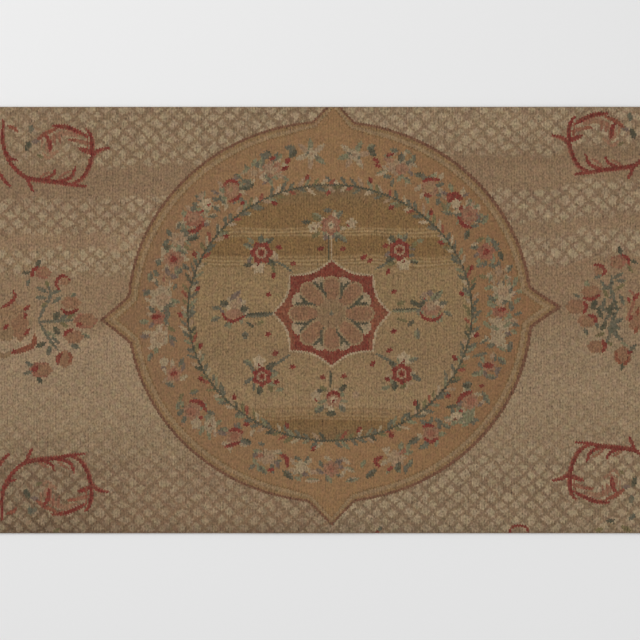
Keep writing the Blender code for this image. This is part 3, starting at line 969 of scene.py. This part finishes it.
def top_of_solid(x, y):
    """How high the solid's upper face is at a place."""
    return solid_tree.ray_cast(Vector((x, y, 0.1)), DOWN)[0].z


ripples = np.array([[top_of_solid(x, y) - THICKNESS for x in ripple_x] for y in ripple_y])
for repeat in range(2):
    edged = np.pad(ripples, 1, mode="edge")
    ripples = (edged[1:-1, 2:] + edged[1:-1, :-2] + edged[2:, 1:-1] + edged[:-2, 1:-1]) / 8 + ripples / 2


def lift(x, y):
    """How far the cloth is off the floor at each place, smoothly between the measured ones."""
    column = np.clip((x + span_x) / (2 * span_x) * RIPPLE_CELLS[0], 0, RIPPLE_CELLS[0] - 1e-6)
    row = np.clip((y + span_y) / (2 * span_y) * RIPPLE_CELLS[1], 0, RIPPLE_CELLS[1] - 1e-6)
    left, below = column.astype(int), row.astype(int)
    over, on = column - left, row - below
    low_row = ripples[below, left] * (1 - over) + ripples[below, left + 1] * over
    high_row = ripples[below + 1, left] * (1 - over) + ripples[below + 1, left + 1] * over
    return np.maximum(low_row * (1 - on) + high_row * on, 0)


print(f"the highest ripple stands {ripples.max() / MM:.2f} mm off the floor")

# %% Part each rib where its yarn changes
PARTED_EVERY = 32
CLEAR_OF_CHANGE = 7
SHORTEST = 2


def stops_of(column):
    """The passes at which a rib's strips end: where its yarn changes, and now and then between."""
    stops = [0]
    for change in np.flatnonzero(np.diff(column)) + 1:
        if change - stops[-1] >= SHORTEST and PASSES - change >= SHORTEST:
            stops.append(int(change))
    stops.append(PASSES)
    plain = range(PARTED_EVERY, PASSES, PARTED_EVERY)
    far = [row for row in plain if min(abs(row - stop) for stop in stops) >= CLEAR_OF_CHANGE]
    return np.array(sorted(stops + far))


stops = [stops_of(chart[:, rib]) for rib in range(RIBS)]
print("strips to a rib:", round(np.mean([len(rows) - 1 for rows in stops]), 1))

# %% Set out the points of the upper face
CREST, GROOVE = 0.10 * MM, -0.22 * MM
Line = namedtuple("Line", "x relief rows first")
lines = []
count = 0
for groove in range(RIBS + 1):
    sides = np.union1d(stops[max(groove - 1, 0)], stops[min(groove, RIBS - 1)])
    lines.append(Line((groove - RIBS / 2) * RIB_PITCH, GROOVE, sides, count))
    count += len(sides)
    if groove < RIBS:
        lines.append(Line(rib_x[groove], CREST, stops[groove], count))
        count += len(stops[groove])
point_x = np.concatenate([np.full(len(line.rows), line.x) for line in lines])
point_y = np.concatenate([(line.rows - PASSES / 2) * PASS for line in lines])
point_z = np.concatenate([np.full(len(line.rows), THICKNESS + line.relief) for line in lines])
points = np.stack([point_x, point_y, point_z + lift(point_x, point_y)], axis=1)
print(len(points), "points on the upper face")

# %% Join the points into strips
faces = []
face_yarn = []


def fan(side, rows, apex, start, end, outward):
    """Joins a side's points to the two points of a crest, the near ones to each."""
    middle = int(np.searchsorted(rows, (start + end) / 2))
    middle = min(max(middle, 1), len(rows) - 1) if len(rows) > 2 else 1
    made = [(side + at, apex if at < middle else apex + 1, side + at + 1) for at in range(len(rows) - 1)]
    made.append((side + middle, apex, apex + 1))
    return [(b, a, c) if outward else (a, b, c) for a, b, c in made]


for rib in range(RIBS):
    left, crest, right_side = lines[2 * rib : 2 * rib + 3]
    for number, (start, end) in enumerate(zip(crest.rows, crest.rows[1:])):
        yarn = chart[(start + end) // 2, rib]
        before = len(faces)
        for side, outward in ((left, False), (right_side, True)):
            first, last = np.searchsorted(side.rows, (start, end))
            rows = side.rows[first : last + 1]
            faces += fan(side.first + int(first), rows, crest.first + number, start, end, outward)
        face_yarn += [yarn] * (len(faces) - before)
print(len(faces), "faces on the upper side")

# %% [markdown]
# ## The cut edge and the underside
#
# The upper face alone would be a paper-thin skin. The real cloth is as thick as its warps, so the outer
# points are joined to a line that stands out at half the thickness, and that to a line on the floor. The
# underside hardly shows, so inside that line a coarse grid is enough. Where a fine row of points meets a
# coarse one, the two are closed like a zip, always taking the nearer of the two next points.

# %% Close the rim
front = [line.first for line in lines]
back = [line.first + len(line.rows) - 1 for line in lines]
left_edge = list(range(front[0] + 1, back[0]))
right_edge = list(range(front[-1] + 1, back[-1]))
border = front + right_edge + back[::-1] + left_edge[::-1]
above = points[border]
full = np.array([WIDTH / (WIDTH - 2 * EDGE_ROUND), LENGTH / (LENGTH - 2 * EDGE_ROUND)])
under_z = lift(above[:, 0], above[:, 1])
middle_line = np.column_stack([above[:, :2] * full, under_z + THICKNESS / 2])
floor_line = np.column_stack([above[:, :2], under_z])
first_middle, first_floor = len(points), len(points) + len(border)
points = np.concatenate([points, middle_line, floor_line])

rim_faces = []
for at in range(len(border)):
    after = (at + 1) % len(border)
    top, top_after = border[at], border[after]
    mid, mid_after = first_middle + at, first_middle + after
    low, low_after = first_floor + at, first_floor + after
    rim_faces += [(top, mid, top_after), (top_after, mid, mid_after)]
    rim_faces += [(mid, low, mid_after), (mid_after, low, low_after)]
print(len(rim_faces), "faces on the rim")

# %% Close the underside
UNDER_CELLS = (48, 32)
UNDER_INSET = 5 * MM
under_x = np.linspace(-WIDTH / 2 + UNDER_INSET, WIDTH / 2 - UNDER_INSET, UNDER_CELLS[0] + 1)
under_y = np.linspace(-LENGTH / 2 + UNDER_INSET, LENGTH / 2 - UNDER_INSET, UNDER_CELLS[1] + 1)
across_grid, along_grid = (part.ravel() for part in np.meshgrid(under_x, under_y))
first_under = len(points)
points = np.concatenate([points, np.column_stack([across_grid, along_grid, lift(across_grid, along_grid)])])
under = first_under + np.arange(len(across_grid)).reshape(len(under_y), len(under_x))

under_faces = []
for row in range(UNDER_CELLS[1]):
    for column in range(UNDER_CELLS[0]):
        a, b = int(under[row, column]), int(under[row, column + 1])
        c, d = int(under[row + 1, column + 1]), int(under[row + 1, column])
        under_faces += [(a, c, b), (a, d, c)]


def zip_rows(outer, inner, axis):
    """Closes the gap between two rows of points that run the same way along an axis."""
    made = []
    o, i = 0, 0
    sign = 1 if points[outer[-1]][axis] > points[outer[0]][axis] else -1
    while o < len(outer) - 1 or i < len(inner) - 1:
        outer_next = sign * points[outer[o + 1]][axis] if o < len(outer) - 1 else np.inf
        inner_next = sign * points[inner[i + 1]][axis] if i < len(inner) - 1 else np.inf
        if outer_next <= inner_next:
            made.append((outer[o], inner[i], outer[o + 1]))
            o += 1
        else:
            made.append((outer[o], inner[i], inner[i + 1]))
            i += 1
    return made


turns = [0, len(front) - 1, len(front) + len(right_edge), len(front) + len(right_edge) + len(back) - 1]
ring = [first_floor + at for at in range(len(border))] + [first_floor]
sides = [ring[start : end + 1] for start, end in zip(turns, turns[1:] + [len(border)])]
inner_sides = (under[0], under[:, -1], under[-1, ::-1], under[::-1, 0])
for side, inner, axis in zip(sides, inner_sides, (0, 1, 0, 1)):
    under_faces += zip_rows(side, [int(at) for at in inner], axis)
print(len(under_faces), "faces under the cloth")

# %% Make the mesh
all_faces = faces + rim_faces + under_faces
mesh = bpy.data.meshes.new("tapestry_cloth")
mesh.from_pydata(points.tolist(), [], all_faces)
mesh.validate()
cloth = bpy.data.objects.new("tapestry_cloth", mesh)
bpy.context.scene.collection.objects.link(cloth)
mesh.shade_smooth()
uses = np.bincount([loop.edge_index for loop in mesh.loops], minlength=len(mesh.edges))
loose = np.count_nonzero(uses != 2)
print(len(mesh.polygons), "faces, and", loose, "open edges")

# %% Give each face its yarn
palette = np.array([[*linear(colour), 1.0] for colour in YARNS.values()])
yarn_of_face = np.array(face_yarn + [NUMBER["sand"]] * (len(all_faces) - len(faces)))
yarn_of_corner = np.repeat(yarn_of_face, 3)
colours = mesh.color_attributes.new("yarn", "FLOAT_COLOR", "CORNER")
colours.data.foreach_set("color", palette[yarn_of_corner].ravel())
for ground in ("field", "inner", "ring"):
    share = mesh.attributes.new(ground, "FLOAT", "CORNER")
    share.data.foreach_set("value", (yarn_of_corner == NUMBER[ground]).astype(float))
print("yarns in use:", len(set(face_yarn)))

# %% [markdown]
# ## The wool
#
# A shader finishes what the mesh can't hold. It finds out which rib and which weft pass a point lies on,
# so its patterns step from rib to rib as the weaving does. The open field gets its small cream lattice,
# a repeat of staggered diamonds that fades where the weaver left bands plain. Every yarn then gets its
# heather: old hand-spun wool takes dye unevenly, and the rug has faded and soiled unevenly too.

# %% Start the material
wool = bpy.data.materials.new("tapestry_wool")
wool.use_nodes = True
tree = wool.node_tree
shader = tree.nodes["Principled BSDF"]


def node(kind, *inputs, **settings):
    """A new node with its settings, its inputs wired or set in order."""
    made = tree.nodes.new("ShaderNode" + kind)
    for name, value in settings.items():
        setattr(made, name, value)
    for socket, value in zip(made.inputs, inputs):
        if isinstance(value, bpy.types.NodeSocket):
            tree.links.new(value, socket)
        elif value is not None:
            socket.default_value = value
    return made


def sums(operation, *inputs):
    """The result of one step of arithmetic."""
    return node("Math", *inputs, operation=operation).outputs[0]


def mixed(share, first, second, blend="MIX"):
    """Two colours mixed."""
    made = node("Mix", data_type="RGBA", blend_type=blend)
    for socket, value in zip((made.inputs[0], made.inputs[6], made.inputs[7]), (share, first, second)):
        if isinstance(value, bpy.types.NodeSocket):
            tree.links.new(value, socket)
        else:
            socket.default_value = value
    return made.outputs[2]


def grain(x, y, x_scale, y_scale, detail=1.0, seed=0.0):
    """Smooth noise from 0 to 1, stretched by its two scales, in repeats to a metre."""
    where = node("CombineXYZ", sums("MULTIPLY", x, x_scale), sums("MULTIPLY", y, y_scale), seed)
    return node("TexNoise", where.outputs[0], None, 1.0, detail, 0.5).outputs


# %% Find the rib and the pass
split = node("SeparateXYZ", node("TexCoord").outputs["Object"])
here_x, here_y = split.outputs[0], split.outputs[1]
rib_number = sums("FLOOR", sums("DIVIDE", sums("ADD", here_x, WIDTH / 2), RIB_PITCH))
rib_middle = sums("SUBTRACT", sums("MULTIPLY", sums("ADD", rib_number, 0.5), RIB_PITCH), WIDTH / 2)
odd = sums("SUBTRACT", sums("MODULO", rib_number, 2.0), 0.5)
comb_y = sums("ADD", here_y, sums("MULTIPLY", odd, COMB))

# %% [markdown]
# ### The open field
#
# The ground of the field was dyed in lots, so its tone changes in bands from top to bottom, and not in
# step on the two sides. A colour ramp for each side holds those bands. The ramp's alpha says how clearly
# the lattice shows there: fully in some bands, faintly in others, and not at all in the plain ones. The
# lower left corner is also soiled darker.

# %% Dye the bands of the field
Band = namedtuple("Band", "py colour lattice", defaults=(0.0,))
LEFT_BANDS = (
    Band(533, (119, 95, 73), 0.66),
    Band(505, (121, 97, 75), 0.66),
    Band(497, (122, 98, 76), 0.66),
    Band(470, (123, 99, 77), 0.62),
    Band(452, (129, 107, 83), 0.55),
    Band(400, (137, 115, 91), 0.35),
    Band(338, (143, 120, 96), 0.16),
    Band(326, (133, 109, 84), 0.05),
    Band(277, (131, 107, 83), 0.00),
    Band(273, (126, 103, 79), 0.90),
    Band(250, (127, 104, 80), 0.90),
    Band(247, (134, 109, 85), 0.00),
    Band(236, (133, 108, 84), 0.00),
    Band(233, (124, 100, 77), 0.85),
    Band(201, (122, 98, 76), 0.80),
    Band(197, (127, 103, 80), 0.00),
    Band(167, (126, 102, 79), 0.00),
    Band(163, (122, 99, 76), 0.90),
    Band(107, (121, 99, 77), 0.95),
)
RIGHT_BANDS = (
    Band(533, (122, 101, 79), 0.95),
    Band(490, (120, 98, 76), 1.00),
    Band(462, (124, 102, 80), 1.00),
    Band(446, (131, 109, 85), 0.55),
    Band(395, (138, 116, 92), 0.32),
    Band(340, (134, 112, 88), 0.18),
    Band(326, (131, 108, 84), 0.10),
    Band(268, (130, 105, 81), 0.00),
    Band(264, (124, 101, 79), 0.90),
    Band(240, (126, 103, 81), 1.00),
    Band(236, (133, 109, 85), 0.00),
    Band(227, (131, 107, 83), 0.00),
    Band(223, (124, 101, 79), 0.90),
    Band(192, (124, 101, 79), 1.00),
    Band(188, (130, 106, 82), 0.00),
    Band(170, (131, 107, 83), 0.00),
    Band(158, (123, 99, 76), 0.00),
    Band(152, (122, 99, 77), 0.90),
    Band(107, (130, 108, 85), 1.00),
)
DARK_CORNER = (place(60, 500), place(140, 420))
CORNER_SOIL = (*linear((74, 56, 40)), 1.0)
MOST_SOILED = 0.46
WANDER = 26 * MM
STEP_FROM, STEP_TO, STEP_DOWN = place(558, 0)[0], place(584, 0)[0], -9 * PIXEL
SIDES_MEET = place(330, 0)[0]


def ramp(height, bands):
    """A colour ramp over the height of the cloth, with a stop for each band."""
    made = node("ValToRGB", height)
    stops_made = made.color_ramp.elements
    for number, band in enumerate(bands):
        at = place(0, band.py)[1] / LENGTH + 0.5
        stop = stops_made[number] if number < 2 else stops_made.new(min(max(at, 0.0), 1.0))
        stop.position = min(max(at, 0.0), 1.0)
        stop.color = (*linear(band.colour), band.lattice)
    return made.outputs


wander = sums("MULTIPLY", sums("SUBTRACT", grain(rib_middle, comb_y, 34, 16, 2.0)[0], 0.5), WANDER)
step_down = node("MapRange", here_x, STEP_FROM, STEP_TO, 0.0, STEP_DOWN).outputs[0]
wander = sums("ADD", wander, step_down)
height = sums("ADD", sums("DIVIDE", sums("ADD", comb_y, wander), LENGTH), 0.5)
left_side, right_side_bands = ramp(height, LEFT_BANDS), ramp(height, RIGHT_BANDS)
to_right = sums("GREATER_THAN", here_x, SIDES_MEET)
ground = mixed(to_right, left_side[0], right_side_bands[0])
soiled_x = node("MapRange", here_x, DARK_CORNER[0][0], DARK_CORNER[1][0], 1.0, 0.0).outputs[0]
soiled_y = node("MapRange", here_y, DARK_CORNER[0][1], DARK_CORNER[1][1], MOST_SOILED, 0.0).outputs[0]
ground = mixed(sums("MULTIPLY", soiled_x, soiled_y), ground, CORNER_SOIL)
shows_left = sums("MULTIPLY", sums("SUBTRACT", 1.0, to_right), left_side[1])
shows = sums("ADD", sums("MULTIPLY", to_right, right_side_bands[1]), shows_left)

# %% Chart the lattice
LATTICE_WIDE, LATTICE_HIGH = 16.31 * PIXEL, 15.22 * PIXEL
LATTICE_AT = place(156.5, 124.6)
DIAMOND = 0.345
BLUR, RAGGED, SWELL = 0.055, 0.30, 0.36
SWAY = 6.5 * MM
NEAR_SHOWS, CORNER_SHOWS = 0.9, 0.65
PATCHY_LOW, PATCHY_RISE, FAINTEST = -0.10, 1.75, 0.12
NEAR_MEDALLION = (place(98, 272), place(128, 196))
BARE_CORNER = (place(40, 168), place(104, 168))


def triangle(value):
    """How far a number is from the nearest whole one."""
    return sums("ABSOLUTE", sums("SUBTRACT", value, sums("ROUND", value)))


sway_x = sums("MULTIPLY", sums("SUBTRACT", grain(here_x, here_y, 50, 50, seed=3.0)[0], 0.5), 2 * SWAY)
sway_y = sums("MULTIPLY", sums("SUBTRACT", grain(here_x, here_y, 50, 50, seed=7.0)[0], 0.5), 2 * SWAY)
repeat_x = sums("DIVIDE", sums("ADD", sums("SUBTRACT", rib_middle, LATTICE_AT[0]), sway_x), LATTICE_WIDE)
repeat_y = sums("DIVIDE", sums("ADD", sums("SUBTRACT", comb_y, LATTICE_AT[1]), sway_y), LATTICE_HIGH)
first_row = sums("ADD", triangle(repeat_x), triangle(repeat_y))
second_row = sums("ADD", triangle(sums("ADD", repeat_x, 0.5)), triangle(sums("ADD", repeat_y, 0.5)))
to_diamond = sums("MINIMUM", first_row, second_row)
ragged = sums("MULTIPLY", sums("SUBTRACT", grain(rib_number, here_y, 7.3, 300)[0], 0.5), RAGGED)
swell = sums("MULTIPLY", sums("SUBTRACT", grain(here_x, here_y, 62, 66, seed=11.0)[0], 0.5), SWELL)
blurred = sums("ADD", sums("ADD", to_diamond, ragged), swell)
in_diamond = node("MapRange", blurred, DIAMOND + BLUR, DIAMOND - BLUR, 0.0, 1.0).outputs[0]


def between(value, low, high):
    """1 where a value lies between two others, else 0."""
    return sums("MULTIPLY", sums("GREATER_THAN", value, low), sums("LESS_THAN", value, high))


joined = node("MapRange", here_x, NEAR_MEDALLION[0][0], NEAR_MEDALLION[1][0], 0.0, NEAR_SHOWS).outputs[0]
joined = sums("MULTIPLY", joined, between(here_y, NEAR_MEDALLION[0][1], NEAR_MEDALLION[1][1]))
shows = sums("MAXIMUM", shows, sums("MULTIPLY", joined, sums("LESS_THAN", here_x, 0.0)))
corner = node("MapRange", here_x, BARE_CORNER[0][0], BARE_CORNER[1][0], CORNER_SHOWS, 1.0).outputs[0]
in_corner = sums("GREATER_THAN", here_y, BARE_CORNER[0][1])
shows = sums("MULTIPLY", shows, sums("MAXIMUM", corner, sums("SUBTRACT", 1.0, in_corner)))
patchy = sums("MULTIPLY", grain(here_x, here_y, 52, 54, 2.0, 12.0)[0], PATCHY_RISE)
patchy = sums("ADD", PATCHY_LOW, patchy)
patchy = sums("MINIMUM", sums("MAXIMUM", patchy, FAINTEST), 1.0)
lattice = sums("MULTIPLY", in_diamond, sums("MULTIPLY", shows, patchy))
DIAMOND_WOOL = (*linear((151, 132, 107)), 1.0)
field = mixed(lattice, ground, DIAMOND_WOOL)

# %% Dye the inner ground
INNER_BANDS = (
    Band(440, (112, 88, 60)),
    Band(422, (116, 89, 57)),
    Band(420, (131, 105, 75)),
    Band(418.2, (116, 89, 57)),
    Band(416.6, (136, 111, 81)),
    Band(414.4, (119, 93, 63)),
    Band(412.6, (137, 112, 83)),
    Band(410, (121, 96, 67)),
    Band(408, (138, 113, 84)),
    Band(404, (134, 110, 81)),
    Band(399, (135, 111, 82)),
    Band(350, (128, 104, 76)),
    Band(310, (132, 108, 78)),
    Band(267, (130, 106, 76)),
    Band(265, (117, 93, 61)),
    Band(263.4, (145, 120, 89)),
    Band(261.6, (111, 86, 54)),
    Band(260, (145, 120, 88)),
    Band(258.2, (111, 85, 53)),
    Band(256.6, (139, 113, 80)),
    Band(255, (116, 89, 57)),
    Band(239, (117, 90, 57)),
    Band(236, (117, 91, 59)),
    Band(234.8, (146, 121, 88)),
    Band(233.4, (112, 86, 54)),
    Band(232.2, (148, 123, 90)),
    Band(230.6, (112, 86, 54)),
    Band(229.2, (144, 119, 86)),
    Band(227.6, (118, 91, 59)),
    Band(210, (117, 90, 58)),
    Band(200, (115, 90, 60)),
    Band(188, (109, 89, 64)),
)
streak = sums("MULTIPLY", sums("SUBTRACT", grain(here_x, here_y, 22, 60, 1.0)[0], 0.5), 5 * MM)
drift = sums("MULTIPLY", sums("SUBTRACT", grain(here_x, here_y, 9, 4, 1.0, 13.0)[0], 0.5), 14 * MM)
inner_height = sums("ADD", here_y, sums("ADD", streak, drift))
inner_height = sums("ADD", sums("DIVIDE", inner_height, LENGTH), 0.5)
inner = ramp(inner_height, INNER_BANDS)[0]

# %% Dye the ring
RING_DYES = (
    (110, (123, 94, 68)),
    (165, (127, 97, 70)),
    (330, (133, 102, 71)),
    (490, (127, 95, 66)),
    (550, (126, 93, 65)),
)
from_left = sums("ADD", sums("DIVIDE", here_x, WIDTH), 0.5)
ring_ramp = node("ValToRGB", from_left)
for number, (px, dye) in enumerate(RING_DYES):
    at = place(px, 0)[0] / WIDTH + 0.5
    stop = ring_ramp.color_ramp.elements[number] if number < 2 else ring_ramp.color_ramp.elements.new(at)
    stop.position = at
    stop.color = (*linear(dye), 1.0)

# %% [markdown]
# ### Worn motifs
#
# The wefts of the flowers and leaves have worn thin in places, so the tan of the ground comes through. A
# soft patchy noise lets a quarter of it show, or a little more. The three grounds are laid over that,
# unworn.

# %% Put the grounds under the yarns
WORN_WOOL = (*linear((130, 105, 79)), 1.0)
WORN_FROM, WORN_TO, MOST_WORN = 0.42, 0.72, 0.28


def share_of(name):
    """How much of a face is of that ground: all or nothing."""
    return node("Attribute", attribute_name=name).outputs["Fac"]


colour = node("Attribute", attribute_name="yarn").outputs["Color"]
patches = grain(here_x, here_y, 190, 150, 2.0, 14.0)[0]
worn = node("MapRange", patches, WORN_FROM, WORN_TO, 0.0, MOST_WORN).outputs[0]
colour = mixed(worn, colour, WORN_WOOL)
colour = mixed(share_of("field"), colour, field)
colour = mixed(share_of("inner"), colour, inner)
colour = mixed(share_of("ring"), colour, ring_ramp.outputs[0])

# %% [markdown]
# ### Heather, wear and dark lines
#
# Five kinds of unevenness lie over each other. Short flecks follow single ribs, and finer ones are the
# spinning. Upright streaks show where a bobbin ran out, soft blotches spread over a few ribs, and broad
# clouds are a century of sun and feet. Each one only makes the wool a little lighter or darker. Every
# second rib is a touch darker, and thin dark lines run along the ribs. The ring was woven of smoother
# yarn, so all of this is weaker there.

# %% Spin the heather
Fleck = namedtuple("Fleck", "x_scale y_scale strength seed detail")
FLECKS = (
    Fleck(19.7, 260, 1.00, 1.0, 1.0),
    Fleck(430, 280, 1.20, 2.0, 1.0),
    Fleck(330, 34, 0.42, 3.0, 1.0),
    Fleck(60, 50, 0.25, 4.0, 2.0),
    Fleck(8, 8, 0.14, 5.0, 1.0),
)
ALTERNATE = 0.11
DARK_LINE_FROM, DARK_LINE_TO, DARK_LINE_DEPTH = 0.58, 0.72, 0.20
RING_CALM = 0.72
TINT = 0.08
WARMTH = (1.0, 0.985, 0.925)
tone = sums("ADD", 1.0, sums("MULTIPLY", odd, ALTERNATE))
for number, fleck in enumerate(FLECKS):
    source = rib_number if number == 0 else here_x
    noise = grain(source, here_y, fleck.x_scale, fleck.y_scale, fleck.detail, fleck.seed)[0]
    tone = sums("ADD", tone, sums("MULTIPLY", sums("SUBTRACT", noise, 0.5), fleck.strength))
# Thin dark lines along the ribs: the wool is darker wherever this narrow upright noise runs high.
dark_lines = grain(here_x, here_y, 420, 95, 1.0, 15.0)[0]
dark_lines = node("MapRange", dark_lines, DARK_LINE_FROM, DARK_LINE_TO, 0.0, DARK_LINE_DEPTH).outputs[0]
tone = sums("SUBTRACT", sums("ADD", tone, 0.012), dark_lines)
calm = node("MapRange", share_of("ring"), 0.0, 1.0, 1.0, RING_CALM).outputs[0]
tone = sums("ADD", 1.0, sums("MULTIPLY", sums("SUBTRACT", tone, 1.0), calm))
shades = [sums("MULTIPLY", tone, share) for share in WARMTH]
colour = mixed(1.0, colour, node("CombineColor", *shades).outputs[0], "MULTIPLY")
tint = grain(here_x, here_y, 150, 120, 1.0, 9.0)[1]
colour = mixed(TINT, colour, mixed(1.0, colour, tint, "OVERLAY"))
tree.links.new(colour, shader.inputs["Base Color"])

# %% Give the wool its touch
shader.inputs["Roughness"].default_value = 0.92
shader.inputs["Specular IOR Level"].default_value = 0.25
shader.inputs["Sheen Weight"].default_value = 0.08
shader.inputs["Sheen Roughness"].default_value = 0.5
WEFTS_TO_A_METRE = 1 / (0.85 * MM)
weft_sway = sums("MULTIPLY", grain(here_x, here_y, 500, 500, 1.0, 6.0)[0], 0.4 * MM)
weft = sums("SINE", sums("MULTIPLY", sums("ADD", comb_y, weft_sway), 2 * pi * WEFTS_TO_A_METRE))
fibre = grain(here_x, here_y, 1500, 2600, 2.0, 8.0)[0]
relief = sums("ADD", sums("MULTIPLY", weft, 0.35), fibre)
bump = node("Bump", 0.5, 0.12 * MM, None, relief)
tree.links.new(bump.outputs[0], shader.inputs["Normal"])
mesh.materials.append(wool)
print(len(tree.nodes), "nodes in the wool")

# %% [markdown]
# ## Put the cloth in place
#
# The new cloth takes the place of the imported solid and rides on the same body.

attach(cloth, "root")
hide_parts("rug_cloth")
